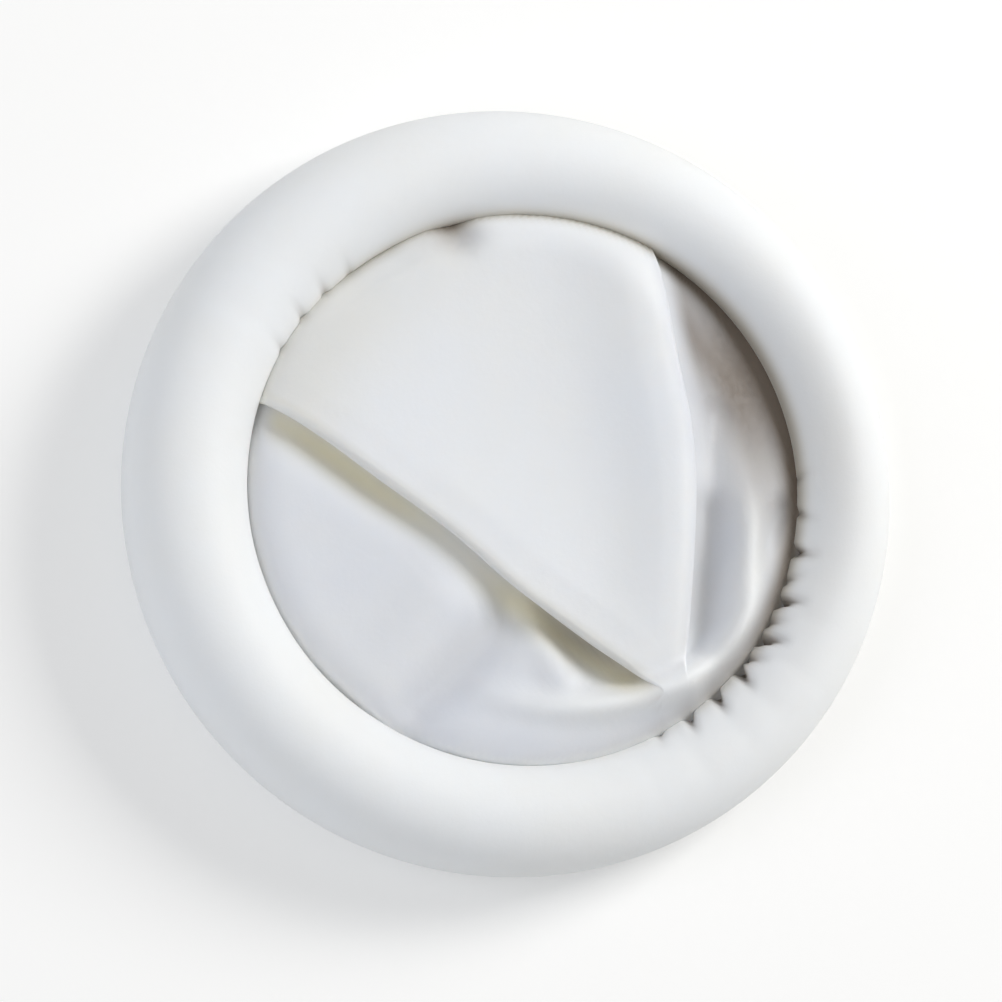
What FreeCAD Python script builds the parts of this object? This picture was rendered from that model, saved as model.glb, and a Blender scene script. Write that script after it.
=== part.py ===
import FreeCAD, Part
import math
import os
from FreeCAD import Vector

# A rolled finger cot of thin latex film, in millimetres and degrees, +Z towards the closed tip.
# The roll lies on z = 0 and its outline is centred on the origin. The opening's centre is set
# off towards +X, so the roll is fattest on the -X side.

SIZES = {
    # Roll: the tube's turns round the opening, with a flat where it lies and a band inside
    "opening_diameter": 17.2,
    "roll_width": 3.4,
    "opening_shift": 0.45,
    "rest_flattening": 0.05,
    "wall_flattening": 0.06,
    # Crease where the film leaves the roll, as an angle up its mean section, and how deep the film
    # goes in
    "crease_angle": 10.0,
    "film_bite": 0.6,
    # Film: its thickness, and its rise above the crease over a slope beside the roll
    "film_thickness": 0.1,
    "film_rise": 0.6,
    "rim_slope": 1.9,
    # Pleat: a flap that widens from its narrow end, the apex, along the fold direction
    "fold_direction": 120.0,
    "apex_past_rim": 0.1,
    "apex_offset": 0.8,
    "apex_width": 0.6,
    "flap_left_run": 0.425,
    "flap_right_run": 0.66,
    "flap_knee": 6.9,
    "flap_run_past_knee": 0.3,
    "flap_overlap": 1.1,
    "rim_overlap": 0.3,
    "layer_pitch": 0.22,
    "flap_lift": 0.42,
    "flap_lift_inside": 1.9,
    "flap_lift_outside": 0.9,
    "flap_sag": 0.22,
    "slit_depth": 0.6,
    "slit_width": 0.9,
    # Low film beside the flap's right edge
    "hollow_angle": 27.0,
    "hollow_inset": 1.2,
    "hollow_spread": 2.6,
    "hollow_depth": 0.55,
    # Ridge of slack film along the rim by the apex
    "ridge_inset": 0.75,
    "ridge_height": 0.8,
    "ridge_width": 0.6,
    "ridge_middle_angle": -48.0,
    "ridge_half_angle": 36.0,
    # Gathers: notches in the roll's inner shoulder, near the apex and, fainter, opposite
    "gather_foot_angle": 33.0,
    "gather_slope": 45.0,
    "gather_length": 1.4,
    "gather_count": 6,
    "gather_spacing": 7.4,
    "gather_middle_angle": -29.0,
    "gather_radius": 0.28,
    "faint_gather_count": 4,
    "faint_gather_spacing": 7.0,
    "faint_gather_middle_angle": 140.0,
    "faint_gather_radius": 0.17,
}
ROLL_SECTIONS = 16
FILM_STATIONS = 17
PANEL_POLES = 6
FLAP_POLES = 3
BEND_SHARE = 0.3


def add_sheet(doc):
    sheet = doc.addObject("Spreadsheet::Sheet", "Sizes")
    for row, (name, value) in enumerate(SIZES.items(), 1):
        sheet.set(f"A{row}", name)
        sheet.set(f"B{row}", str(value))
        sheet.setAlias(f"B{row}", name)
    doc.recompute()
    return sheet


# Expressions that place an object: moved to a point, and turned about an axis


def moved(x, y, z):
    return f"create(<<placement>>; create(<<vector>>; {x}; {y}; {z}); create(<<rotation>>; 0; 0; 0))"


def turned(axis, angle):
    return f"create(<<placement>>; create(<<vector>>; 0; 0; 0); create(<<rotation>>; {axis}; {angle}))"


X_AXIS = "create(<<vector>>; 1; 0; 0)"
Y_AXIS = "create(<<vector>>; 0; 1; 0)"
Z_AXIS = "create(<<vector>>; 0; 0; 1)"

# Roll: its section is a circle whose radius changes round the ring

MEAN_RADIUS = "((Sizes.roll_width + Sizes.wall_flattening) / 2)"
RING_RADIUS = "((Sizes.opening_diameter + Sizes.roll_width - Sizes.wall_flattening) / 2)"
RING_CENTRE = moved("Sizes.opening_shift / 2", 0, 0)
CREASE_RISE = f"({MEAN_RADIUS} * sin(Sizes.crease_angle * 1 deg))"
CREASE_HEIGHT = f"({MEAN_RADIUS} + {CREASE_RISE} - Sizes.rest_flattening)"


def section_radius(angle):
    return f"({MEAN_RADIUS} - Sizes.opening_shift / 2 * cos({angle} * 1 deg))"


def section_height(angle):
    return f"({section_radius(angle)} - Sizes.rest_flattening)"


def add_roll_section(doc, number):
    angle = 360 * number / ROLL_SECTIONS
    circle = doc.addObject("Part::Circle", f"roll_section_{number + 1}")
    circle.setExpression("Radius", section_radius(angle))
    middle = moved(RING_RADIUS, 0, section_height(angle))
    place = f"{RING_CENTRE} * {turned(Z_AXIS, angle)} * {middle} * {turned(X_AXIS, 90)}"
    circle.setExpression("Placement", place)
    return circle


def add_half_roll(doc, name, sections):
    half = doc.addObject("Part::Loft", name)
    half.Sections = sections
    half.Solid = True
    return half


def add_roll(doc):
    """Two lofts that make the ring, cut flat underneath and inside.

    Inside, the roll is straight up to the film and leans back a little above it.
    """
    sections = [add_roll_section(doc, number) for number in range(ROLL_SECTIONS)]
    middle = ROLL_SECTIONS // 2
    turns = doc.addObject("Part::Fuse", "roll_turns")
    turns.Base = add_half_roll(doc, "back_half_roll", sections[: middle + 1])
    turns.Tool = add_half_roll(doc, "front_half_roll", sections[middle:] + sections[:1])

    ground = doc.addObject("Part::Box", "ground")
    for side in ("Length", "Width"):
        ground.setExpression(side, f"{RING_RADIUS} * 4")
    ground.setExpression("Height", "Sizes.roll_width")
    corner = f"-{RING_RADIUS} * 2"
    ground.setExpression("Placement", moved(corner, corner, "-Sizes.roll_width"))

    lying = add_cut(doc, "lying_roll", turns, ground)
    wall_top = f"{CREASE_HEIGHT} - Sizes.film_thickness"
    opening = add_disc(doc, "opening", "Sizes.opening_diameter / 2", wall_top)
    mouth = doc.addObject("Part::Cone", "opening_mouth")
    mouth.setExpression("Radius1", "Sizes.opening_diameter / 2")
    mouth.setExpression("Radius2", "Sizes.opening_diameter / 2 + Sizes.wall_flattening")
    mouth.setExpression("Height", "Sizes.roll_width")
    mouth.setExpression("Placement", moved("Sizes.opening_shift", 0, wall_top))
    walled = add_cut(doc, "walled_roll", lying, opening)
    return add_cut(doc, "open_roll", walled, mouth)


def add_disc(doc, name, radius, height):
    """An upright cylinder about the opening's centre."""
    disc = doc.addObject("Part::Cylinder", name)
    disc.setExpression("Radius", radius)
    disc.setExpression("Height", height)
    disc.setExpression("Placement", moved("Sizes.opening_shift", 0, 0))
    return disc


def add_cut(doc, name, base, tool):
    cut = doc.addObject("Part::Cut", name)
    cut.Base = base
    cut.Tool = tool
    return cut


# Gathers: each notch is a slender cone that lies along the roll's inner shoulder


def add_gather(doc, name, angle, radius):
    cone = doc.addObject("Part::Cone", name)
    cone.setExpression("Radius1", radius)
    cone.setExpression("Radius2", f"{radius} / 8")
    cone.setExpression("Height", "Sizes.gather_length")
    rise = f"{section_radius(angle)} * sin(Sizes.gather_foot_angle * 1 deg)"
    inset = f"{section_radius(angle)} * cos(Sizes.gather_foot_angle * 1 deg)"
    foot = moved(f"{RING_RADIUS} - {inset}", 0, f"{section_height(angle)} + {rise}")
    lean = turned(Y_AXIS, "90 - Sizes.gather_slope")
    cone.setExpression("Placement", f"{RING_CENTRE} * {turned(Z_AXIS, angle)} * {foot} * {lean}")
    return cone


def add_gathers(doc, sheet, group):
    """One row of gathers, evenly spaced about its middle angle."""
    count = round(getattr(sheet, f"{group}_count"))
    notches = []
    for number in range(count):
        place = number - (count - 1) / 2
        angle = f"(Sizes.{group}_middle_angle + {place} * Sizes.{group}_spacing)"
        name = f"{group}_{number + 1}"
        notches.append(add_gather(doc, name, angle, f"Sizes.{group}_radius"))
    return notches


# Film: a sheet of even thickness, shaped by a cage of poles. Its sections lie across the fold
# direction; `along` is measured from the opening's centre away from the apex, `across` to the right.


def smooth_step(share):
    share = min(max(share, 0.0), 1.0)
    return share * share * (3 - 2 * share)


def bell(distance, spread):
    return math.exp(-((distance / spread) ** 2))


class Film:
    """Heights and folds of the film, worked out from the sheet."""

    def __init__(self, sheet):
        for name in SIZES:
            setattr(self, name, float(getattr(sheet, name)))
        self.opening_radius = self.opening_diameter / 2
        self.reach = self.opening_radius + self.film_bite + self.film_rise
        self.apex_distance = self.opening_radius + self.apex_past_rim
        mean_radius = (self.roll_width + self.wall_flattening) / 2
        crease_rise = mean_radius * math.sin(math.radians(self.crease_angle))
        self.crease_height = mean_radius + crease_rise - self.rest_flattening

    def place(self, along, across):
        turn = math.radians(self.fold_direction)
        x = self.opening_shift + along * math.cos(turn) + across * math.sin(turn)
        y = along * math.sin(turn) - across * math.cos(turn)
        return x, y

    def flap_edges(self, along):
        """The flap's left and right edges; past the apex it keeps its narrowest width.

        The right edge runs out steeply from the apex to a knee, then more gently.
        """
        run = max(along + self.apex_distance, 0.0)
        steep_run = min(run, self.flap_knee)
        gentle_run = run - steep_run
        left = self.apex_offset - self.flap_left_run * run
        right = self.apex_offset + self.flap_right_run * steep_run
        right += self.flap_run_past_knee * gentle_run
        middle = (left + right) / 2
        half = max(right - left, self.apex_width) / 2
        return middle - half, middle + half

    def slope_share(self, along, across):
        """How far the film has risen beside the roll: 0 at the opening's edge, 1 inside the slope."""
        return smooth_step((self.opening_radius - math.hypot(along, across)) / self.rim_slope)

    def open_share(self, along):
        """How far the pleat has opened: 0 at the apex, 1 from the opening's centre on."""
        return smooth_step((along + self.apex_distance) / self.opening_radius)

    def hollow(self, along, across):
        turn = math.radians(self.hollow_angle - self.fold_direction)
        reach = self.opening_radius - self.hollow_inset
        away = math.hypot(along - reach * math.cos(turn), across + reach * math.sin(turn))
        _, right = self.flap_edges(along)
        beside_flap = smooth_step(2 * (across - right) / self.hollow_spread)
        return self.hollow_depth * bell(away, self.hollow_spread) * beside_flap

    def slack_ridge(self, along, across):
        angle = self.fold_direction - math.degrees(math.atan2(across, along))
        turn = (angle - self.ridge_middle_angle + 180) % 360 - 180
        inset = self.opening_radius - math.hypot(along, across) - self.ridge_inset
        return self.ridge_height * bell(turn, self.ridge_half_angle) * bell(inset, self.ridge_width)

    def layer_level(self, along, across):
        """Height that the lowest layer and the flap both follow."""
        _, right = self.flap_edges(along)
        spread = self.flap_lift_outside if across > right else self.flap_lift_inside
        lift = self.flap_lift * bell(across - right, spread) * self.open_share(along)
        risen = self.film_rise - self.hollow(along, across) + lift
        level = self.crease_height + risen * self.slope_share(along, across)
        return level + self.slack_ridge(along, across)

    def low_level(self, along, across):
        """Height of the lowest layer, which dips into the slit along the flap's left edge."""
        left, _ = self.flap_edges(along)
        slit = self.slit_depth * bell(across - left + self.slit_width / 2, self.slit_width)
        slit *= self.open_share(along) * self.slope_share(along, across)
        return self.layer_level(along, across) - slit

    def flap_pole(self, along, across, share=0.0):
        """A pole of the flap, which sags between its bends; share runs from one to the other."""
        sag = self.flap_sag * math.sin(math.pi * share) * self.open_share(along)
        return across, self.layer_level(along, across) + 2 * self.layer_pitch - sag

    def bands(self, along):
        """The film's section at one station as bands of poles (across, height), left to right.

        Each band starts where the one before it ends. The flap lies over both panels: at each of
        its edges the film turns back under it, and turns again to run on as the panel.
        """
        left, right = self.flap_edges(along)
        left_bend = left + self.overlap(along, left, right - left)
        right_bend = right - self.overlap(along, right, right - left)
        far_left = self.panel(along, -1, left, left_bend)
        far_right = self.panel(along, 1, right, right_bend)[::-1]
        flap = [self.flap_pole(along, left)]
        for step in range(FLAP_POLES + 2):
            share = step / (FLAP_POLES + 1)
            flap.append(self.flap_pole(along, left_bend + share * (right_bend - left_bend), share))
        flap.append(self.flap_pole(along, right))

        left_middle = [raised(far_left[-1], self.layer_pitch), raised(flap[0], -self.layer_pitch)]
        right_middle = [raised(flap[-1], -self.layer_pitch), raised(far_right[0], self.layer_pitch)]
        return (
            [far_left]
            + self.bend(far_left[-1], left_middle[0], 1)
            + [left_middle]
            + self.bend(left_middle[1], flap[0], -1)
            + [flap]
            + self.bend(flap[-1], right_middle[0], 1)
            + [right_middle]
            + self.bend(right_middle[1], far_right[0], -1)
            + [far_right]
        )

    def overlap(self, along, edge, width):
        """How far the flap lies over a panel: less where its edge runs into the roll."""
        spare = self.flap_overlap - self.rim_overlap
        return min(self.rim_overlap + spare * self.slope_share(along, edge), width / 4)

    def panel(self, along, side, edge, bend):
        """Poles of the film beside the flap, from the outside to its bend under the flap.

        Side is -1 on the left and 1 on the right. The outside lies in the roll, past the slit.
        """
        lead = edge + side * self.slit_width
        outside = side * max(self.reach, side * lead + self.film_bite)
        stops = [outside + step / PANEL_POLES * (lead - outside) for step in range(PANEL_POLES + 1)]
        return [(across, self.low_level(along, across)) for across in stops + [edge, bend]]

    def bend(self, start, end, side):
        """A fold's edge as three narrow facets that bulge to one side."""
        bulge = side * self.layer_pitch * BEND_SHARE
        rise = (end[1] - start[1]) * BEND_SHARE
        first = (start[0] + bulge, start[1] + rise)
        second = (end[0] + bulge, end[1] - rise)
        return [[start, first], [first, second], [second, end]]

    def cages(self, side):
        """For each band, rows of poles in space: side +1 is the tip side, -1 the finger side."""
        cages = []
        for station in range(FILM_STATIONS):
            along = self.reach * (2 * station / (FILM_STATIONS - 1) - 1)
            bands = self.bands(along)
            line = bands[0] + [pole for band in bands[1:] for pole in band[1:]]
            line = offset_line(line, side * self.film_thickness / 2)
            points = [Vector(*self.place(along, across), height) for across, height in line]
            start = 0
            for number, band in enumerate(bands):
                if station == 0:
                    cages.append([])
                cages[number].append(points[start : start + len(band)])
                start += len(band) - 1
        return cages


def raised(pole, height):
    return pole[0], pole[1] + height


def offset_line(points, distance):
    """The line moved sideways by a distance, with mitred corners."""
    normals = []
    for (x0, z0), (x1, z1) in zip(points, points[1:]):
        length = math.hypot(x1 - x0, z1 - z0)
        normals.append((-(z1 - z0) / length, (x1 - x0) / length))
    normals = [normals[0]] + normals + [normals[-1]]
    shifted = []
    for (x, z), (ax, az), (bx, bz) in zip(points, normals, normals[1:]):
        mitre = distance / (1 + ax * bx + az * bz)
        shifted.append((x + mitre * (ax + bx), z + mitre * (az + bz)))
    return shifted


def spline_knots(count):
    """Degree, knots and their repeats of a spline that starts and ends on its outer poles."""
    degree = min(3, count - 1)
    knots = list(range(count - degree + 1))
    repeats = [degree + 1] + [1] * (len(knots) - 2) + [degree + 1]
    return degree, knots, repeats


def spline_face(rows):
    u_degree, u_knots, u_repeats = spline_knots(len(rows))
    v_degree, v_knots, v_repeats = spline_knots(len(rows[0]))
    surface = Part.BSplineSurface()
    surface.buildFromPolesMultsKnots(
        rows, u_repeats, v_repeats, u_knots, v_knots, False, False, u_degree, v_degree
    )
    return surface.toShape()


def spline_edge(poles):
    degree, knots, repeats = spline_knots(len(poles))
    curve = Part.BSplineCurve()
    curve.buildFromPolesMultsKnots(poles, repeats, knots, False, degree)
    return curve.toShape()


def side_walls(tip_cages, finger_cages):
    """Narrow faces that close the film round its outside, between its two sides."""
    pairs = []
    for tip, finger in zip(tip_cages, finger_cages):
        pairs += [(tip[0], finger[0]), (tip[-1], finger[-1])]
    for cages, column in ((0, 0), (-1, -1)):
        pairs.append([[row[column] for row in side[cages]] for side in (tip_cages, finger_cages)])
    return [Part.makeRuledSurface(spline_edge(a), spline_edge(b)) for a, b in pairs]


def closed_film(film):
    tip_cages, finger_cages = film.cages(1), film.cages(-1)
    faces = [spline_face(cage) for cage in tip_cages + finger_cages]
    shell = Part.makeShell(faces + side_walls(tip_cages, finger_cages))
    shell.sewShape()
    solid = Part.makeSolid(shell)
    return Part.makeSolid(shell.reversed()) if solid.Orientation == "Reversed" else solid


def add_film(doc, sheet):
    sheet_of_film = doc.addObject("Part::Feature", "folded_film")
    sheet_of_film.Shape = closed_film(Film(sheet))
    edge = "Sizes.opening_diameter / 2 + Sizes.film_bite"
    rim = add_disc(doc, "film_rim", edge, "Sizes.roll_width * 3")
    trimmed = doc.addObject("Part::Common", "tip_film")
    trimmed.Base = sheet_of_film
    trimmed.Tool = rim
    return trimmed


def build(doc):
    sheet = add_sheet(doc)
    roll = add_roll(doc)
    notches = doc.addObject("Part::Compound", "gathers")
    notches.Links = add_gathers(doc, sheet, "gather") + add_gathers(doc, sheet, "faint_gather")
    gathered = add_cut(doc, "gathered_roll", roll, notches)
    cot = doc.addObject("Part::Fuse", "rolled_cot")
    cot.Label = "rolled_cot"
    cot.Base = gathered
    cot.Tool = add_film(doc, sheet)
    doc.recompute()
    return cot


def check(doc, parts):
    for item in doc.Objects:
        if "Invalid" in item.State or "Error" in item.State:
            raise RuntimeError(f"{item.Label} is {item.State}")
    for part in parts:
        if part.Shape.isNull() or not part.Shape.isValid():
            raise RuntimeError(f"{part.Label} has no valid shape")


document = FreeCAD.newDocument("finger_cot")
parts = [build(document)]
check(document, parts)
os.makedirs("parts", exist_ok=True)
for part in parts:
    part.Shape.exportStep(f"parts/{part.Label}.step")
    print(part.Label, len(part.Shape.Solids), "solid,", round(part.Shape.Volume, 1), "mm3")
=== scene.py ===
import math

import bmesh
import bpy
import numpy as np
from mathutils import Matrix, Vector


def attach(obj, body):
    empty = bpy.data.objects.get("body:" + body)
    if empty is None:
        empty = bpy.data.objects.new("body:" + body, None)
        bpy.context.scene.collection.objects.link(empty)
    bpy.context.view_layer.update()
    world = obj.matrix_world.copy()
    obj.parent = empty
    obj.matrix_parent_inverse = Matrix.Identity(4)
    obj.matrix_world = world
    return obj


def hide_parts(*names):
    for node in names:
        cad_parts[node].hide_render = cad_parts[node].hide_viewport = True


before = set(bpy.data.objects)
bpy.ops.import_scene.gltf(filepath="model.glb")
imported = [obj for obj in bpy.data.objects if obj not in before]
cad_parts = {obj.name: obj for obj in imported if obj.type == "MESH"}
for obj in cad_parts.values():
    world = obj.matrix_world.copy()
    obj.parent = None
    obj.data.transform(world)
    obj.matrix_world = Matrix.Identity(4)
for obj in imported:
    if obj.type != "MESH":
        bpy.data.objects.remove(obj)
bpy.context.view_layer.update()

# A rolled finger cot of dipped natural rubber latex. Lengths are in millimetres until the mesh is
# made. Film points are given about the opening's centre, x to the right and y up the picture, and
# directions in degrees round it, from the right.

MM = 0.001

# Roll
OPENING_RADIUS = 8.6
OPENING_SHIFT = 0.45
ROLL_WIDTH = 3.4
REST_FLATTENING = 0.05
WALL_FLATTENING = 0.06
CREASE_HEIGHT = 1.98
ROLL_STEPS = 420
SECTION_STEPS = 80

# Swells of the roll, as (waves round it, size, phase). They show on its inner side.
SWELLS = ((2, 0.025, 0.4), (3, 0.02, 2.1), (5, 0.014, 4.0), (9, 0.008, 1.3))
SWELL_SHARE = 0.6

# Gathers: where each one crosses the roll's inner edge, in degrees, and how deep it is. Places up
# the roll's section are turns in degrees, from its outer side over its top.
GATHERS = (
    (-11.5, 0.34), (-17.0, 0.16), (-21.9, 0.42), (-26.5, 0.18), (-30.6, 0.46), (-35.2, 0.24),
    (-39.0, 0.42), (-45.9, 0.38), (-53.0, 0.3), (-60.0, 0.12), (4.0, 0.08), (-4.0, 0.16),
    (128.0, 0.08), (135.0, 0.12), (142.0, 0.13), (150.0, 0.09),
)
GATHER_WIDTH = 0.95

# A gather starts at a turn, later if it is shallow, deepens over a run and fades at its foot. It
# leans to one side or the other up the section.
GATHER_START = 108
GATHER_DEEPENS = 60
DEEP_GATHER = 0.4
SHALLOW_GATHER_DELAY = 40
GATHER_END = 200
GATHER_FADE = 30
GATHER_LEAN = 2.2
LEAN_MIDDLE = 150
LEAN_RUN = 50
LEAN_CHANGE = 2.7

# Faint wrinkles that run out from the gathers over the roll's top, as (angle, depth)
WRINKLES = (
    (-24, 0.02), (-33, 0.03), (-41, 0.035), (-48, 0.03), (-57, 0.025), (-66, 0.015), (150, 0.015),
)
WRINKLE_WIDTH = 1.7
WRINKLE_MIDDLE = 105
WRINKLE_REACH = 42

# Film: it is cut round at its edge, under the roll, from a grid a little larger
FILM_THICKNESS = 0.1
FILM_EDGE = 9.3
FILM_MARGIN = 0.1
FILM_ROWS = 176
LAYER_PITCH = 0.2
BAND_SAMPLES = {"left_panel": 52, "right_panel": 38, "fold": 5, "middle": 8, "flap": 66}
FOLD_BULGE = 0.09
WELD_DISTANCE = 0.001

# Level of the film before its folds: its rise above the crease, its dive and slope under the roll,
# and the length of its slope inside the rim, which is longer round two directions, as
# (direction, spread, extra length)
FILM_RISE = 0.6
RIM_DIVE = 0.25
SLOPE_UNDER_ROLL = 0.6
RIM_SLOPE = 1.1
UPPER_LEFT_SLOPE = (137, 30, 0.9)
UPPER_RIGHT_SLOPE = (25, 38, 1.6)

# Folds of the film die away over this distance from the rim
RIM_FADE = 0.8

# Pleat: its closed end, how soon it opens from there, and how far the flap lies over the panels
FOLD_DIRECTION = math.radians(120)
APEX_ALONG = -7.7
PLEAT_OPENS = 1.4
OVERLAP_OPENS = 0.5
FLAP_OVERLAP = 1.1
RIM_OVERLAP = 0.35
RIM_OVERLAP_RUN = 1.6
WIDTH_PER_OVERLAP = 3.6
CLOSED_MIDDLE = 0.3

# Pleat's edges as (along, across): along runs from the opening's centre away from the apex
FLAP_LEFT = (
    (-9.4, 0.75), (-7.6, 0.45), (-5.0, -0.7), (-2.5, -1.8), (0.0, -2.7), (2.3, -3.75),
    (4.6, -4.8), (7.0, -6.15), (9.4, -7.6),
)
FLAP_RIGHT = (
    (-9.4, 0.95), (-7.6, 1.25), (-5.9, 2.3), (-4.2, 3.42), (-2.4, 4.52), (-0.9, 5.24),
    (1.5, 6.06), (3.6, 6.85), (9.4, 8.6),
)

# Flap's sag between its edges, which starts at a place along and grows over a run, and the ridge
# inside its right edge, which does too and is wider on its inner side
FLAP_SAG = 0.22
NARROWEST_SAG = 0.2
SAG_START = -7
SAG_RUN = 9
RIDGE_HEIGHT = 0.42
RIDGE_INSET = 0.5
RIDGE_START = -8
RIDGE_RUN = 4.5
RIDGE_INSIDE = 1.9
RIDGE_OUTSIDE = 0.9
RIDGE_OUTSIDE_MORE = 0.2
RIDGE_WIDENS_FROM = -3
RIDGE_WIDENS_OVER = 3

# Slit under the flap's left edge: how deep the panel dips, as (along, depth), and its painted olive shade
SLIT = (
    (-9.4, 0.0), (-7.6, 0.02), (-6.4, 0.45), (-4.6, 0.6), (-2.8, 0.32), (-1.4, 0.17), (0.0, 0.18),
    (1.6, 0.3), (4.0, 0.34), (6.2, 0.22), (8.2, 0.06), (9.4, 0.0),
)
SLIT_WIDTH = 0.85
SLIT_INSET = 0.35
SLIT_SHADE_DEPTH = 0.34
SLIT_SHADE_WIDTH = 0.6
SLIT_SHADE_SHARE = 0.8

# Crescent of slack film beside the gathers, as (angle, distance inside the rim, height)
CRESCENT = (
    (-108, 2.1, 0.0), (-90, 1.8, 0.25), (-75, 1.5, 0.5), (-60, 1.1, 0.75), (-46, 0.7, 0.95),
    (-31, 0.75, 1.0), (-19, 1.2, 0.85), (-8, 1.5, 0.5), (2, 1.7, 0.15), (12, 1.9, 0.0),
)
CRESCENT_WIDTH = 0.5
CRESCENT_OUTER_WIDTH = 0.4
WHITE_CREST_HEIGHT = 0.5

# Folds of the panels and the flap: (x, y) of both ends, half width, and height, negative for a valley
LEFT_VALLEY = ((-0.7, -4.3), (-3.3, -6.9), 0.8, -0.45)
FOLDS = (
    LEFT_VALLEY,
    ((-2.9, -3.6), (-4.7, -6.4), 0.9, 0.2),
    ((0.1, -3.9), (1.1, -5.9), 0.5, 0.3),
    ((5.9, 2.4), (5.35, -4.9), 0.5, -0.22),
    ((5.6, -0.6), (5.35, -4.9), 0.5, -0.3),
    ((8.05, -0.4), (5.6, -5.9), 0.35, -0.3),
)
FLAP_FOLDS = (
    ((-7.3, 4.6), (-3.0, 7.1), 0.35, 0.07),
    ((-2.2, 8.1), (-2.0, 7.7), 0.5, -0.4),
    ((-5.5, 6.9), (-4.6, 7.5), 1.0, -0.28),
)

# Painted shades beside the rim, as (direction, spread, distance inside the rim, width, share): olive
# shade on the taut film at the upper left, part of it deep, the gap beside the gathers, and the hollow at
# the right
TAUT_FILM_SHADE = (148, 34, 0.8, 1.8, 0.16)
# Share of the taut film's painted shade that goes into the deep shade too
TAUT_SHADE_IN_DEEP = 0.6
GATHER_GAP = (-28, 30, 0.25, 0.35, 0.55)
HOLLOW = (28, 32, 1.3, 1.0, 0.95)

# Hollow's start beyond the flap's right edge, and how soon it is whole
HOLLOW_START = 0.1
HOLLOW_RUN = 0.8

# Shade of the valley in the hollow, as a fold, and of the band along the flap's right edge, as
# (distance beyond it, width, share). The band starts at a place along and grows over a run.
RIGHT_VALLEY = ((5.5, -0.6), (5.4, -3.8), 0.7, 0.2)
EDGE_BAND = (0.6, 0.5, 0.15)
EDGE_BAND_START = -3
EDGE_BAND_RUN = 3

# Shade of the slit near the apex, as (along, length, distance left of the flap, width, share), and
# of the left panel's valley
APEX_SHADE = (-5.2, 2.0, 0.05, 0.45, 0.62)
LEFT_VALLEY_SHARE = 0.14

# Shade of the pucker at the top of the rim, as (x, y, width, share)
PUCKER = (-2.3, 8.0, 0.75, 0.55)

# Olive tint of the flap's folded left edge
FOLD_TINT = 0.2
FOLD_TINT_WIDTH = 0.22

# Shade in the crease between film and roll: faint all round, and darkest round one direction, as
# (direction, spread), where the share of that spread is over RIM_DARK_SHARE
RIM_FAINTEST = 0.1
RIM_DARKEST_AT = (50, 75)
RIM_DARK_SHARE = 0.8
RIM_WIDTH = 0.3
RIM_SHADE_HEIGHT = 0.5
RIM_OLIVE = 0.4
RIM_DEEP = 0.6

# Shade on the roll: in its gathers, for each millimetre of depth, and on its top at the right, as
# (direction, spread, turn, spread of the turn, share)
NOTCH_SHADE = 2.6
RIGHT_ROLL_SHADE = (4, 42, 100, 36, 0.24)

# Share of the thick wall's colour on the layered flap, partly painted light against the panels
# beside it, which lie in painted shade, and how soon it starts from the flap's edges, and where
# the film's own colour starts at the rim
LAYERED_SHARE = 0.65
LAYERED_RUN = 0.3
FILM_TINT_EDGE = 0.05
FILM_TINT_RUN = 0.3


def smooth_step(share):
    share = np.clip(share, 0.0, 1.0)
    return share * share * (3 - 2 * share)


def bell(distance, spread):
    return np.exp(-((distance / spread) ** 2))


def through(points, column, values):
    """A smooth curve through listed points, read at many values."""
    knots = np.array([point[0] for point in points], float)
    heights = np.array([point[column] for point in points], float)
    slopes = np.gradient(heights, knots)
    place = np.clip(np.searchsorted(knots, values) - 1, 0, len(knots) - 2)
    width = knots[place + 1] - knots[place]
    share = np.clip((values - knots[place]) / width, 0.0, 1.0)
    rise = share * share * (3 - 2 * share)
    blend = (1 - rise) * heights[place] + rise * heights[place + 1]
    lead = share * (1 - share) ** 2 * slopes[place] - share**2 * (1 - share) * slopes[place + 1]
    return blend + width * lead


def turned_from(angle, direction):
    """How far round the ring an angle lies from a direction, both in degrees."""
    return (angle - direction + 180) % 360 - 180


def fold(x, y, start, end, spread, height):
    """A ridge or valley between two points, which dies away past its ends."""
    run_x, run_y = end[0] - start[0], end[1] - start[1]
    share = ((x - start[0]) * run_x + (y - start[1]) * run_y) / (run_x**2 + run_y**2)
    share = np.clip(share, 0.0, 1.0)
    away = np.hypot(x - start[0] - share * run_x, y - start[1] - share * run_y)
    return height * bell(away, spread)


# Roll


def section_radius(angle):
    return (ROLL_WIDTH + WALL_FLATTENING) / 2 - OPENING_SHIFT / 2 * np.cos(angle)


def roll_swell(angle):
    return sum(size * np.sin(count * angle + phase) for count, size, phase in SWELLS)


def gather_depth(angle, turn):
    """Notches in the inner shoulder: angle goes round the ring, turn up the section from outside."""
    depth = np.zeros(np.broadcast(angle, turn).shape)
    for place, size in GATHERS:
        away = turned_from(np.degrees(angle), place)
        lean = GATHER_LEAN * np.sin(place * LEAN_CHANGE) * (np.degrees(turn) - LEAN_MIDDLE) / LEAN_RUN
        start = GATHER_START + SHALLOW_GATHER_DELAY * (DEEP_GATHER - size)
        down = smooth_step((np.degrees(turn) - start) / GATHER_DEEPENS)
        end = smooth_step((GATHER_END - np.degrees(turn)) / GATHER_FADE)
        depth += size * bell(away - lean, GATHER_WIDTH) * down * end
    return depth


def wrinkle_depth(angle, turn):
    """Faint radial wrinkles, deepest on the roll's top and gone at its sides."""
    depth = np.zeros(np.broadcast(angle, turn).shape)
    for place, size in WRINKLES:
        away = turned_from(np.degrees(angle), place)
        reach = bell(np.degrees(turn) - WRINKLE_MIDDLE, WRINKLE_REACH)
        depth += size * bell(away, WRINKLE_WIDTH) * reach
    return depth


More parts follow.
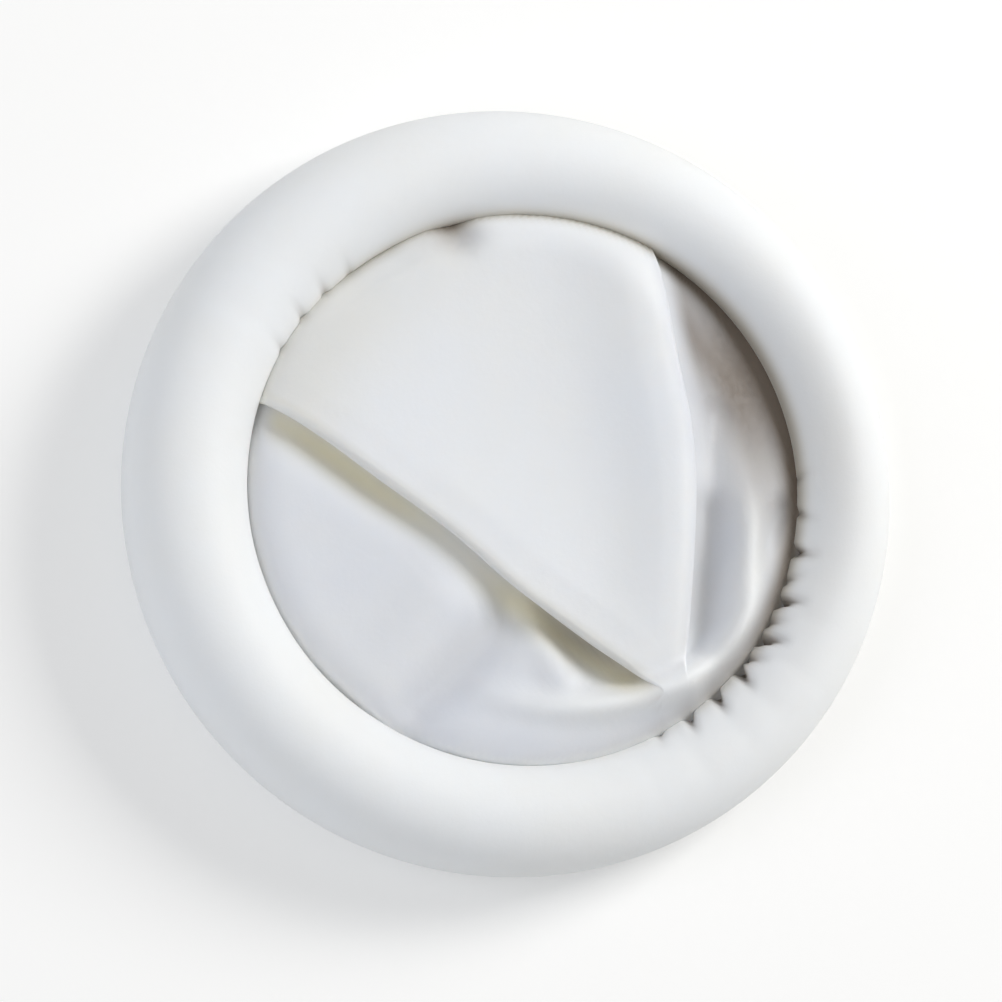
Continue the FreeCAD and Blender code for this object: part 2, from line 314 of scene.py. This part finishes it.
def roll_angles():
    """The mesh's angles round the ring, in a column, and round its section, in a row."""
    angle = np.linspace(0, 2 * math.pi, ROLL_STEPS, endpoint=False)[:, None]
    turn = np.linspace(0, 2 * math.pi, SECTION_STEPS, endpoint=False)[None, :]
    return angle, turn


def roll_points():
    """The roll's surface, flat where it rests and where its inner wall is the opening."""
    angle, turn = roll_angles()
    nominal = section_radius(angle)
    radius = nominal + roll_swell(angle) * np.sin(turn / 2) ** 2 * SWELL_SHARE
    radius = radius - gather_depth(angle, turn) - wrinkle_depth(angle, turn)
    ring = OPENING_RADIUS + (ROLL_WIDTH - WALL_FLATTENING) / 2
    reach = ring + radius * np.cos(turn)
    height = np.maximum(nominal - REST_FLATTENING + radius * np.sin(turn), 0.0)
    x = OPENING_SHIFT / 2 + reach * np.cos(angle)
    y = reach * np.sin(angle)
    inside = np.hypot(x - OPENING_SHIFT, y)
    push = np.maximum(1.0, OPENING_RADIUS / inside)
    return OPENING_SHIFT + (x - OPENING_SHIFT) * push, y * push, height + 0 * x


# Film


def flap_edges(along):
    return through(FLAP_LEFT, 1, along), through(FLAP_RIGHT, 1, along)


def across_to_xy(along, across):
    x = along * math.cos(FOLD_DIRECTION) + across * math.sin(FOLD_DIRECTION)
    y = along * math.sin(FOLD_DIRECTION) - across * math.cos(FOLD_DIRECTION)
    return x, y


def beside(x, y, direction, spread):
    """1 in a direction from the opening's centre, and less to both sides of it."""
    return bell(turned_from(np.degrees(np.arctan2(y, x)), direction), spread)


def inset_from_rim(x, y):
    """Distance inside the opening's rim, negative under the roll."""
    return OPENING_RADIUS - np.hypot(x, y)


def away_from_rim(x, y):
    """0 at the rim, and 1 where the film's folds have their whole height."""
    return smooth_step(inset_from_rim(x, y) / RIM_FADE)


def resting_level(x, y):
    """The film's level before its folds. It rises from the crease on a rounded slope, which is
    longer at the upper left, and longest and soft at the right, where the film is slack."""
    upper_left = beside(x, y, *UPPER_LEFT_SLOPE[:2])
    upper_right = beside(x, y, *UPPER_RIGHT_SLOPE[:2])
    slope = RIM_SLOPE + UPPER_LEFT_SLOPE[2] * upper_left + UPPER_RIGHT_SLOPE[2] * upper_right
    share = np.clip(inset_from_rim(x, y) / slope, 0.0, 1.0)
    rounded = np.sqrt(share * (2 - share))
    shape = rounded * (1 - upper_right) + smooth_step(share) * upper_right
    past = np.maximum(-inset_from_rim(x, y), 0)
    return CREASE_HEIGHT - RIM_DIVE + (FILM_RISE + RIM_DIVE) * shape - SLOPE_UNDER_ROLL * past


def crescent_at(x, y):
    """The crescent's height beside a point, and how far inside its crest the point lies."""
    angle = np.degrees(np.arctan2(y, x))
    return through(CRESCENT, 2, angle), inset_from_rim(x, y) - through(CRESCENT, 1, angle)


def slack_crescent(x, y):
    """Slack film bunched into a crescent, a little steeper towards the roll."""
    height, inside = crescent_at(x, y)
    spread = np.where(inside > 0, CRESCENT_WIDTH, CRESCENT_OUTER_WIDTH)
    return np.maximum(height, 0) * bell(inside, spread)


def crest_share(x, y):
    """How near a point lies to the crescent's crest, where bunched film is whiter, with a painted
    highlight.
    """
    height, inside = crescent_at(x, y)
    return smooth_step(height / WHITE_CREST_HEIGHT) * bell(inside, CRESCENT_WIDTH)


def right_ridge(along, across):
    """The flap's right edge stands up as a roof ridge that slopes into the low film."""
    _, right = flap_edges(along)
    away = across - right + RIDGE_INSET
    height = RIDGE_HEIGHT * smooth_step((along - RIDGE_START) / RIDGE_RUN)
    widening = smooth_step((along - RIDGE_WIDENS_FROM) / RIDGE_WIDENS_OVER)
    outside = RIDGE_OUTSIDE + RIDGE_OUTSIDE_MORE * widening
    return height * np.where(away > 0, bell(away, outside), bell(away, RIDGE_INSIDE))


def low_film(along, across):
    """Height of the film's lowest layer."""
    x, y = across_to_xy(along, across)
    left, _ = flap_edges(along)
    height = resting_level(x, y) + slack_crescent(x, y)
    height = height + sum(fold(x, y, *shape) for shape in FOLDS)
    slit = through(SLIT, 1, along) * bell(across - left + SLIT_INSET, SLIT_WIDTH)
    return height + (right_ridge(along, across) - slit) * away_from_rim(x, y)


def flap_film(along, across):
    """Height of the flap, which lies on both panels."""
    x, y = across_to_xy(along, across)
    left, right = flap_edges(along)
    height = resting_level(x, y) + slack_crescent(x, y) + 2 * layer_pitch(along)
    height = height + sum(fold(x, y, *shape) for shape in FLAP_FOLDS)
    hanging = np.maximum(right - left - 2 * FLAP_OVERLAP, NARROWEST_SAG)
    share = np.clip((across - left - FLAP_OVERLAP) / hanging, 0, 1)
    sag = FLAP_SAG * np.sin(math.pi * share) * smooth_step((along - SAG_START) / SAG_RUN)
    height = height + (right_ridge(along, across) - sag) * away_from_rim(x, y)
    lowest = low_film(along, across) + 2 * layer_pitch(along)
    return lowest + (height - lowest) * pleat_share(along)


def pleat_share(along):
    """How open the pleat is: it ends at its apex, and past it the film is one plain layer."""
    return smooth_step((along - APEX_ALONG) / PLEAT_OPENS)


def layer_pitch(along):
    """The distance from one layer to the next."""
    return LAYER_PITCH * pleat_share(along)


def overlap(along, edge, width):
    """How far the flap lies over a panel: less where its edge runs into the roll. Past the apex
    it is negative, so that the hidden layer lies in line between the panel and the flap."""
    inside = smooth_step(inset_from_rim(along, edge) / RIM_OVERLAP_RUN)
    widest = RIM_OVERLAP + (FLAP_OVERLAP - RIM_OVERLAP) * inside
    opened = smooth_step((along - APEX_ALONG) / OVERLAP_OPENS)
    lap = np.minimum(widest, width / WIDTH_PER_OVERLAP) * opened
    return np.where(along > APEX_ALONG, lap, -CLOSED_MIDDLE)


def over_panel(along, across):
    """Height of the flap where it lies on a panel, with room for the layer between them."""
    return np.maximum(flap_film(along, across), low_film(along, across) + 2 * layer_pitch(along))


def hidden_layer(along, across):
    """Height of the layer between a panel and the flap."""
    return (over_panel(along, across) + low_film(along, across)) / 2


def straight(start, end, count):
    share = np.linspace(0, 1, count)[None, :]
    return start[:, None] + share * (end - start)[:, None]


def fold_edge(start, end, side, pitch):
    """A fold's rounded edge, from one layer's end to the next, bulging to one side."""
    turn = np.linspace(0, math.pi, BAND_SAMPLES["fold"])[None, :]
    across = start[0][:, None] + (end[0] - start[0])[:, None] * (1 - np.cos(turn)) / 2
    across = across + side * np.sin(turn) * FOLD_BULGE * (pitch / LAYER_PITCH)[:, None]
    height = start[1][:, None] + (end[1] - start[1])[:, None] * (1 - np.cos(turn)) / 2
    return across, height


def film_bands():
    """The film's middle surface in rows across the fold direction, as bands from left to right.

    Returns the rows' places along, and each band's name, places across and heights.
    """
    edge = FILM_EDGE + FILM_MARGIN
    along = np.linspace(-edge, edge, FILM_ROWS)
    rows = along[:, None]
    outside = np.full_like(along, edge)
    left, right = flap_edges(along)
    left_bend = left + overlap(along, left, right - left)
    right_bend = right - overlap(along, right, right - left)
    pitch = layer_pitch(along)

    left_panel = straight(-outside, left_bend, BAND_SAMPLES["left_panel"])
    right_panel = straight(right_bend, outside, BAND_SAMPLES["right_panel"])
    flap = straight(left, right, BAND_SAMPLES["flap"])
    low_left, low_right = low_film(rows, left_panel), low_film(rows, right_panel)
    on_panel = (flap <= left_bend[:, None]) | (flap >= right_bend[:, None])
    top = np.where(on_panel, over_panel(rows, flap), flap_film(rows, flap))

    left_middle = straight(left_bend, left, BAND_SAMPLES["middle"])
    right_middle = straight(right, right_bend, BAND_SAMPLES["middle"])
    mid_left, mid_right = hidden_layer(rows, left_middle), hidden_layer(rows, right_middle)

    return rows, [
        ("left_panel", left_panel, low_left),
        ("bend", *fold_edge((left_bend, low_left[:, -1]), (left_bend, mid_left[:, 0]), 1, pitch)),
        ("middle", left_middle, mid_left),
        ("left_edge", *fold_edge((left, mid_left[:, -1]), (left, top[:, 0]), -1, pitch)),
        ("flap", flap, top),
        ("right_edge", *fold_edge((right, top[:, -1]), (right, mid_right[:, 0]), 1, pitch)),
        ("middle", right_middle, mid_right),
        ("bend", *fold_edge((right_bend, mid_right[:, -1]), (right_bend, low_right[:, 0]), -1, pitch)),
        ("right_panel", right_panel, low_right),
    ]


def crease_share(band, along, across):
    """How much olive a band takes: painted shade in the slit and taut film, and the folded edge's tint."""
    if band == "left_panel":
        return slit_shade(along, across)
    if band == "left_edge":
        return FOLD_TINT * pleat_share(along) + 0 * across
    if band == "flap":
        return edge_shade(along, across) * pleat_share(along) + taut_film_shade(along, across)
    return np.zeros_like(across)


def deep_share(band, along, across):
    """How much deep shade a band of the film holds. The gap's shade lies on the panels, and past
    the apex on every band, because there they are one layer."""
    gap = gap_shade(along, across)
    if band == "left_panel":
        return gap + apex_shade(along, across) + valley_shade(along, across)
    if band == "right_panel":
        return gap + hollow_shade(along, across)
    gap = gap * (1 - pleat_share(along))
    if band == "flap":
        return gap + pucker_shade(along, across) + TAUT_SHADE_IN_DEEP * taut_film_shade(along, across)
    return gap


def joined(bands):
    """Bands side by side, each without the first column that it shares with the one before."""
    return np.concatenate([bands[0]] + [band[:, 1:] for band in bands[1:]], axis=1)


def rim_patch(x, y, direction, spread, middle, width, share):
    """A patch of shade beside the rim."""
    return share * beside(x, y, direction, spread) * bell(inset_from_rim(x, y) - middle, width)


def slit_shade(along, across):
    """Painted olive shade in the slit, under the flap's left edge, where the edge shadows the panel."""
    left, _ = flap_edges(along)
    depth = np.clip(through(SLIT, 1, along) / SLIT_SHADE_DEPTH, 0, 1)
    inside = away_from_rim(along, across)
    return SLIT_SHADE_SHARE * depth * bell(across - left + SLIT_INSET, SLIT_SHADE_WIDTH) * inside


def edge_shade(along, across):
    """The flap's folded left edge is two layers thick and a little creamier."""
    left, _ = flap_edges(along)
    return FOLD_TINT * bell(across - left, FOLD_TINT_WIDTH)


def apex_shade(along, across):
    """The slit is darkest close to the apex."""
    left, _ = flap_edges(along)
    middle, length, inset, width, share = APEX_SHADE
    return share * bell(along - middle, length) * bell(across - left + inset, width)


def valley_shade(along, across):
    """Shade in the soft fold of the left panel."""
    x, y = across_to_xy(along, across)
    return fold(x, y, *LEFT_VALLEY[:3], LEFT_VALLEY_SHARE)


def pucker_shade(along, across):
    """A small pucker at the top of the rim, where the film dips under the roll."""
    x, y = across_to_xy(along, across)
    middle_x, middle_y, width, share = PUCKER
    return share * bell(np.hypot(x - middle_x, y - middle_y), width)


def gap_shade(along, across):
    """The narrow gap between the crescent and the roll's gathers is in brownish shade."""
    return rim_patch(*across_to_xy(along, across), *GATHER_GAP)


def taut_film_shade(along, across):
    """Painted olive shade on the taut film at the upper left, beside the rim."""
    return rim_patch(*across_to_xy(along, across), *TAUT_FILM_SHADE)


def hollow_shade(along, across):
    """The slack film at the right lies low against the roll, in deep brownish shade, with a
    greyer valley and band along the flap's edge."""
    x, y = across_to_xy(along, across)
    _, right = flap_edges(along)
    direction, spread, middle, width, share = HOLLOW
    beyond = np.maximum(inset_from_rim(x, y) - middle, 0)
    start = smooth_step((across - right - HOLLOW_START) / HOLLOW_RUN)
    low = share * beside(x, y, direction, spread) * bell(beyond, width) * start
    offset, band_width, band_share = EDGE_BAND
    upper = smooth_step((along - EDGE_BAND_START) / EDGE_BAND_RUN)
    band = band_share * bell(across - right - offset, band_width) * upper
    return low + fold(x, y, *RIGHT_VALLEY) + band


def rim_shade(x, y, height):
    """The crease between film and roll: darkest at the top right, faint at the lower left."""
    darkest = smooth_step(beside(x, y, *RIM_DARKEST_AT) / RIM_DARK_SHARE)
    dark = RIM_FAINTEST + (1 - RIM_FAINTEST) * darkest
    near = bell(inset_from_rim(x, y), RIM_WIDTH) * bell(height - CREASE_HEIGHT, RIM_SHADE_HEIGHT)
    return dark * near


def right_roll_shade(angle, turn):
    """The roll's top is greyer on the right, beside the hollow."""
    direction, spread, middle, width, share = RIGHT_ROLL_SHADE
    side = bell(turned_from(np.degrees(angle), direction), spread)
    return share * side * bell(np.degrees(turn) - middle, width)


# Meshes


def grid_faces(rows, columns, closed):
    """Quads between neighbouring points of a grid, which may close on itself both ways."""
    faces = []
    for row in range(rows if closed else rows - 1):
        for column in range(columns if closed else columns - 1):
            next_row, next_column = (row + 1) % rows, (column + 1) % columns
            corners = ((row, column), (next_row, column), (next_row, next_column), (row, next_column))
            faces.append([i * columns + j for i, j in corners])
    return faces


def new_object(name, points, faces):
    mesh = bpy.data.meshes.new(name)
    mesh.from_pydata((points * MM).tolist(), [], faces)
    mesh.validate()
    piece = bpy.data.objects.new(name, mesh)
    bpy.context.scene.collection.objects.link(piece)
    return piece


def clean(mesh):
    """Drops points without a face and merges those that coincide where the pleat is closed."""
    shape = bmesh.new()
    shape.from_mesh(mesh)
    loose = [point for point in shape.verts if not point.link_faces]
    bmesh.ops.delete(shape, geom=loose, context="VERTS")
    bmesh.ops.remove_doubles(shape, verts=shape.verts, dist=WELD_DISTANCE * MM)
    shape.to_mesh(mesh)
    shape.free()


def apply_modifiers(piece):
    shaped = piece.evaluated_get(bpy.context.evaluated_depsgraph_get())
    mesh = bpy.data.meshes.new_from_object(shaped)
    piece.modifiers.clear()
    piece.data = mesh


def paint(piece, shares):
    """Per-point shares that the latex reads: thin wall, also painted light and shade, olive painted
    shade with the folded edge's tint, and deep painted shade.
    """
    for name, share in shares.items():
        layer = piece.data.attributes.new(name, "FLOAT", "POINT")
        layer.data.foreach_set("value", np.clip(share, 0, 1).ravel().astype(np.float32))


def make_roll():
    x, y, height = roll_points()
    points = np.stack([x.ravel(), y.ravel(), height.ravel()], axis=1)
    roll = new_object("roll_turns", points, grid_faces(ROLL_STEPS, SECTION_STEPS, True))
    rim = rim_shade(x - OPENING_SHIFT, y, height)
    notches = NOTCH_SHADE * gather_depth(*roll_angles())
    deep = RIM_DEEP * rim + notches + right_roll_shade(*roll_angles())
    paint(roll, {"thin": np.zeros_like(x), "crease": RIM_OLIVE * rim, "deep": deep})
    return roll


def film_thinness(x, y, along, across):
    """1 where the film is a single thin wall, less on the flap and on the bunched crescent, as thicker
    film is whiter. In part it is painted light: the panels beside the flap take painted shade and
    the crest a painted highlight.
    """
    left, right = flap_edges(along)
    from_left = np.clip((across - left) / LAYERED_RUN, 0, 1)
    from_right = np.clip((right - across) / LAYERED_RUN, 0, 1)
    layers = from_left * from_right * pleat_share(along)
    inside = smooth_step((inset_from_rim(x, y) + FILM_TINT_EDGE) / FILM_TINT_RUN)
    return inside * (1 - LAYERED_SHARE * layers) * (1 - crest_share(x, y))


def make_film():
    rows, bands = film_bands()
    across = joined([places for _, places, _ in bands])
    height = joined([heights for _, _, heights in bands])
    crease = joined([crease_share(name, rows, places) for name, places, _ in bands])
    deep = joined([deep_share(name, rows, places) for name, places, _ in bands])
    along = np.broadcast_to(rows, across.shape)
    x, y = across_to_xy(along, across)
    kept = (np.hypot(x, y) < FILM_EDGE).ravel()
    faces = [face for face in grid_faces(*x.shape, False) if kept[face].all()]
    points = np.stack([(x + OPENING_SHIFT).ravel(), y.ravel(), height.ravel()], axis=1)
    film = new_object("tip_film", points, faces)
    # Shares painted on the film: thinness, partly painted light and shade, and olive and deep painted
    # shade
    rim = rim_shade(x, y, height)
    thin = film_thinness(x, y, along, across)
    paint(film, {"thin": thin, "crease": crease + RIM_OLIVE * rim, "deep": deep + RIM_DEEP * rim})
    clean(film.data)
    ease = film.modifiers.new("ease", "SMOOTH")
    ease.factor = 0.5
    ease.iterations = 3
    wall = film.modifiers.new("wall", "SOLIDIFY")
    wall.thickness = FILM_THICKNESS * MM
    wall.offset = 0.0
    apply_modifiers(film)
    return film


def join(name, first, *others):
    with bpy.context.temp_override(
        active_object=first, selected_editable_objects=[first, *others], object=first
    ):
        bpy.ops.object.join()
    first.name = first.data.name = name
    return first


def shade_smooth(cot):
    cot.data.polygons.foreach_set("use_smooth", [True] * len(cot.data.polygons))
    cot.data.update()


# Materials

THICK_WALL = "#F4F7FA"
# Cooler colour of the single film, its own and partly painted shade on the panels beside the flap
THIN_FILM = "#DFE3EB"
WARM_CLOUD = "#F2F1EB"
# The rubber's olive, painted as shade in the creases, the slit and the taut film, and as the folded edge's
# tint
OLIVE_CREASE = "#E9E1BC"
DEEP_SHADE = "#73685D"
PAPER_WHITE = "#F4F4F3"
PAPER_LIFT = 0.16

# Sizes of the latex's patterns in millimetres. Uneven dipping clouds and ripples it. Powder grains
# are about 0.02 mm, and are drawn about ten times as coarse, so that they show at all.
CLOUD_SIZE = 3.846
CLOUD_SHARE = 0.3
RIPPLE_SIZE = 1.111
RIPPLE_DEPTH = 0.1
POWDER_GRAIN = 0.02
POWDER_DRAWN = 0.1923
GLOW_DEPTH = 0.7


def linear(hex_colour):
    """A colour written as sRGB hex, as linear RGBA."""
    channels = [int(hex_colour[i : i + 2], 16) / 255 for i in (1, 3, 5)]
    return [c / 12.92 if c <= 0.04045 else ((c + 0.055) / 1.055) ** 2.4 for c in channels] + [1.0]


def add_node(tree, kind, settings=(), sockets=(), links=()):
    """Adds a node, sets its properties and input values, and links other outputs into it."""
    node = tree.nodes.new(kind)
    for name, value in settings:
        setattr(node, name, value)
    for socket, value in sockets:
        node.inputs[socket].default_value = value
    for socket, source in links:
        tree.links.new(source, node.inputs[socket])
    return node


def new_material(name):
    material = bpy.data.materials.new(name)
    material.use_nodes = True
    material.node_tree.nodes.clear()
    return material, material.node_tree


def noise_scale(size):
    """A noise texture's scale for features of a size in millimetres."""
    return 1 / (size * MM)


def natural_rubber_latex():
    """Natural rubber latex, dipped on a former and powdered: matt satin, and thin enough to glow.

    The thick roll is near white and the single film cooler, partly as painted shade. Painted shade
    in the creases is olive, the rubber's own colour, and the deepest painted shade is brownish.
    """
    material, tree = new_material("natural_rubber_latex_dipped_powdered")
    place = add_node(tree, "ShaderNodeTexCoord").outputs["Object"]
    thin, crease, deep = (
        add_node(tree, "ShaderNodeAttribute", [("attribute_name", name)]).outputs["Fac"]
        for name in ("thin", "crease", "deep")
    )

    wall = add_node(
        tree, "ShaderNodeMix", [("data_type", "RGBA")],
        [("A", linear(THICK_WALL)), ("B", linear(THIN_FILM))],
        [("Factor", thin)],
    )
    cloud = add_node(
        tree, "ShaderNodeTexNoise", (),
        [("Scale", noise_scale(CLOUD_SIZE)), ("Detail", 3.0)],
        [("Vector", place)],
    )
    cloud_share = add_node(
        tree, "ShaderNodeMapRange", (),
        [("From Min", 0.3), ("From Max", 0.7), ("To Min", 0.0), ("To Max", CLOUD_SHARE)],
        [("Value", cloud.outputs["Fac"])],
    )
    mottled = add_node(
        tree, "ShaderNodeMix", [("data_type", "RGBA")],
        [("B", linear(WARM_CLOUD))],
        [("A", wall.outputs["Result"]), ("Factor", cloud_share.outputs["Result"])],
    )
    olive = add_node(
        tree, "ShaderNodeMix", [("data_type", "RGBA")],
        [("B", linear(OLIVE_CREASE))],
        [("A", mottled.outputs["Result"]), ("Factor", crease)],
    )
    colour = add_node(
        tree, "ShaderNodeMix", [("data_type", "RGBA")],
        [("B", linear(DEEP_SHADE))],
        [("A", olive.outputs["Result"]), ("Factor", deep)],
    )

    powder = add_node(
        tree, "ShaderNodeTexNoise", (),
        [("Scale", noise_scale(POWDER_DRAWN)), ("Detail", 4.0), ("Roughness", 0.6)],
        [("Vector", place)],
    )
    ripple = add_node(
        tree, "ShaderNodeTexNoise", (),
        [("Scale", noise_scale(RIPPLE_SIZE)), ("Detail", 2.0)],
        [("Vector", place)],
    )
    ripple_bump = add_node(
        tree, "ShaderNodeBump", (),
        [("Strength", 0.12), ("Distance", RIPPLE_DEPTH * MM)],
        [("Height", ripple.outputs["Fac"])],
    )
    powder_bump = add_node(
        tree, "ShaderNodeBump", (),
        [("Strength", 0.25), ("Distance", POWDER_GRAIN * MM)],
        [("Height", powder.outputs["Fac"]), ("Normal", ripple_bump.outputs["Normal"])],
    )
    satin = add_node(
        tree, "ShaderNodeMapRange", (),
        [("From Min", 0.35), ("From Max", 0.65), ("To Min", 0.5), ("To Max", 0.64)],
        [("Value", powder.outputs["Fac"])],
    )
    shader = add_node(
        tree, "ShaderNodeBsdfPrincipled", [("subsurface_method", "BURLEY")],
        [
            ("IOR", 1.52), ("Specular IOR Level", 0.4),
            ("Sheen Weight", 0.12), ("Sheen Roughness", 0.45),
            ("Subsurface Weight", 0.22), ("Subsurface Scale", GLOW_DEPTH * MM),
            ("Subsurface Radius", (1.3, 1.0, 0.75)),
        ],
        [
            ("Base Color", colour.outputs["Result"]), ("Roughness", satin.outputs["Result"]),
            ("Normal", powder_bump.outputs["Normal"]),
        ],
    )
    add_node(tree, "ShaderNodeOutputMaterial", (), (), [("Surface", shader.outputs["BSDF"])])
    return material


def table_paper():
    """Matt white sweep of paper; the camera sees it a little lifted, with the cot's shadow kept."""
    material, tree = new_material("matt_white_paper")
    paper = add_node(tree, "ShaderNodeBsdfDiffuse", (), [("Color", linear(PAPER_WHITE))])
    rays = add_node(tree, "ShaderNodeLightPath")
    lift = add_node(
        tree, "ShaderNodeMath", [("operation", "MULTIPLY")],
        [(1, PAPER_LIFT)],
        [(0, rays.outputs["Is Camera Ray"])],
    )
    glow = add_node(
        tree, "ShaderNodeEmission", (),
        [("Color", (1, 1, 1, 1))],
        [("Strength", lift.outputs["Value"])],
    )
    both = add_node(
        tree, "ShaderNodeAddShader", (), (),
        [(0, paper.outputs["BSDF"]), (1, glow.outputs["Emission"])],
    )
    add_node(tree, "ShaderNodeOutputMaterial", (), (), [("Surface", both.outputs["Shader"])])
    return material


# Studio, in metres

FLOOR_SIDE = 0.6
FLOOR_DROP = 0.000002
WORLD_WHITE = "#FBFBFA"
WORLD_STRENGTH = 0.44
CAMERA_TILT = math.radians(12)
CAMERA_TURN = math.radians(235)
CAMERA_DISTANCE = 0.26
CAMERA_LENS = 300
CAMERA_CLIP = 0.01
LIGHTS = (
    # name, place, side in metres, watts, colour
    ("key_upper_right", (0.175, 0.095, 0.13), 0.10, 0.35, "#FFFDFA"),
    ("fill_left", (-0.18, -0.04, 0.17), 0.20, 0.17, "#F1F5FF"),
)


def add_floor():
    """A sweep of paper just under the cot, so that the two faces don't lie in one plane."""
    half = FLOOR_SIDE / 2
    ground = ((-half, -half), (half, -half), (half, half), (-half, half))
    corners = np.array([(x, y, -FLOOR_DROP) for x, y in ground])
    floor = new_object("table_sweep", corners / MM, [[0, 1, 2, 3]])
    floor.data.materials.append(table_paper())


def aim(thing, place, up):
    """Points an object at the cot's middle, with one direction of the scene up in its view."""
    back = Vector(place).normalized()
    right = Vector(up).cross(back).normalized()
    top = back.cross(right)
    thing.matrix_world = Matrix([(right[i], top[i], back[i], place[i]) for i in range(3)] + [(0, 0, 0, 1)])


def add_lights():
    for name, place, side, watts, colour in LIGHTS:
        lamp = bpy.data.lights.new(name, "AREA")
        lamp.size = side
        lamp.energy = watts
        lamp.color = linear(colour)[:3]
        light = bpy.data.objects.new(name, lamp)
        bpy.context.scene.collection.objects.link(light)
        aim(light, place, (0, 0, 1))
    world = bpy.data.worlds.new("soft_room")
    world.use_nodes = True
    sky = world.node_tree.nodes["Background"]
    sky.inputs["Color"].default_value = linear(WORLD_WHITE)
    sky.inputs["Strength"].default_value = WORLD_STRENGTH
    bpy.context.scene.world = world


def add_camera():
    lens = bpy.data.cameras.new("camera")
    lens.lens = CAMERA_LENS
    lens.clip_start = CAMERA_CLIP
    camera = bpy.data.objects.new("camera", lens)
    bpy.context.scene.collection.objects.link(camera)
    side = CAMERA_DISTANCE * math.sin(CAMERA_TILT)
    height = CAMERA_DISTANCE * math.cos(CAMERA_TILT)
    aim(camera, (side * math.cos(CAMERA_TURN), side * math.sin(CAMERA_TURN), height), (0, 1, 0))
    bpy.context.scene.camera = camera


cot = join("latex_cot", make_roll(), make_film())
shade_smooth(cot)
cot.data.materials.clear()
cot.data.materials.append(natural_rubber_latex())
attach(cot, "root")
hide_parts("rolled_cot")

add_floor()
add_lights()
add_camera()
bpy.context.scene.view_settings.view_transform = "Standard"
